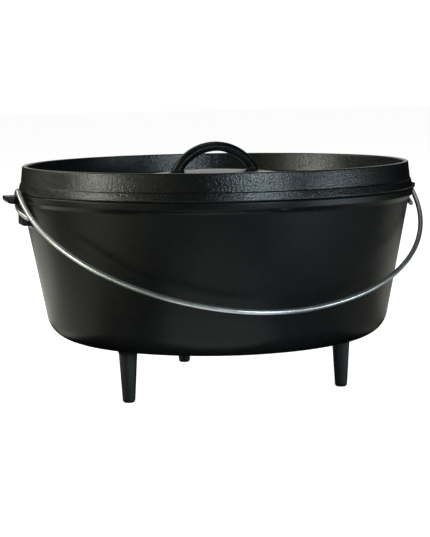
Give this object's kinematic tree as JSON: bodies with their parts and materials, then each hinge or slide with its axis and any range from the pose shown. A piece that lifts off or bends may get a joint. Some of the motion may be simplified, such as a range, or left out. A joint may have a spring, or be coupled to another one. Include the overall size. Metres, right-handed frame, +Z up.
{
  "type": "camp dutch oven",
  "caption": "Deep round cast iron pot on short legs, with a flanged lid that has a loop handle and a swinging steel wire bail hooked through the ears at the rim.",
  "frame": {"origin": "on the ground, on the pot's axis", "axes": "+Z up along the pot's axis; +X towards the right-hand ear; the bail rests towards -Y"},
  "size_m": [0.355, 0.3323, 0.2042],
  "materials": {
    "pot_iron": "seasoned, satin, fine sand-cast grain",
    "lid_iron": "seasoned, satin, pebbled sand-cast skin",
    "bail_steel": "bright plated wire"
  },
  "bodies": {
    "pot": {"pot_body": "pot_iron", "leg_back": "pot_iron", "leg_front_left": "pot_iron", "leg_front_right": "pot_iron", "ear_left": "pot_iron", "ear_right": "pot_iron"},
    "lid": {"lid": "lid_iron", "lid_handle": "lid_iron"},
    "bail": {"bail": "bail_steel"}
  },
  "joints": [
    {"name": "lid_lift", "type": "slide", "parent": "pot", "child": "lid", "axis": [0, 0, 1], "range_m": [0, 0.2]},
    {"name": "bail_swing", "type": "hinge", "parent": "pot", "child": "bail", "pos_m": [0, -0.00724, 0.162], "axis": [-1, 0, 0], "range_deg": [-18, 134]}
  ]
}
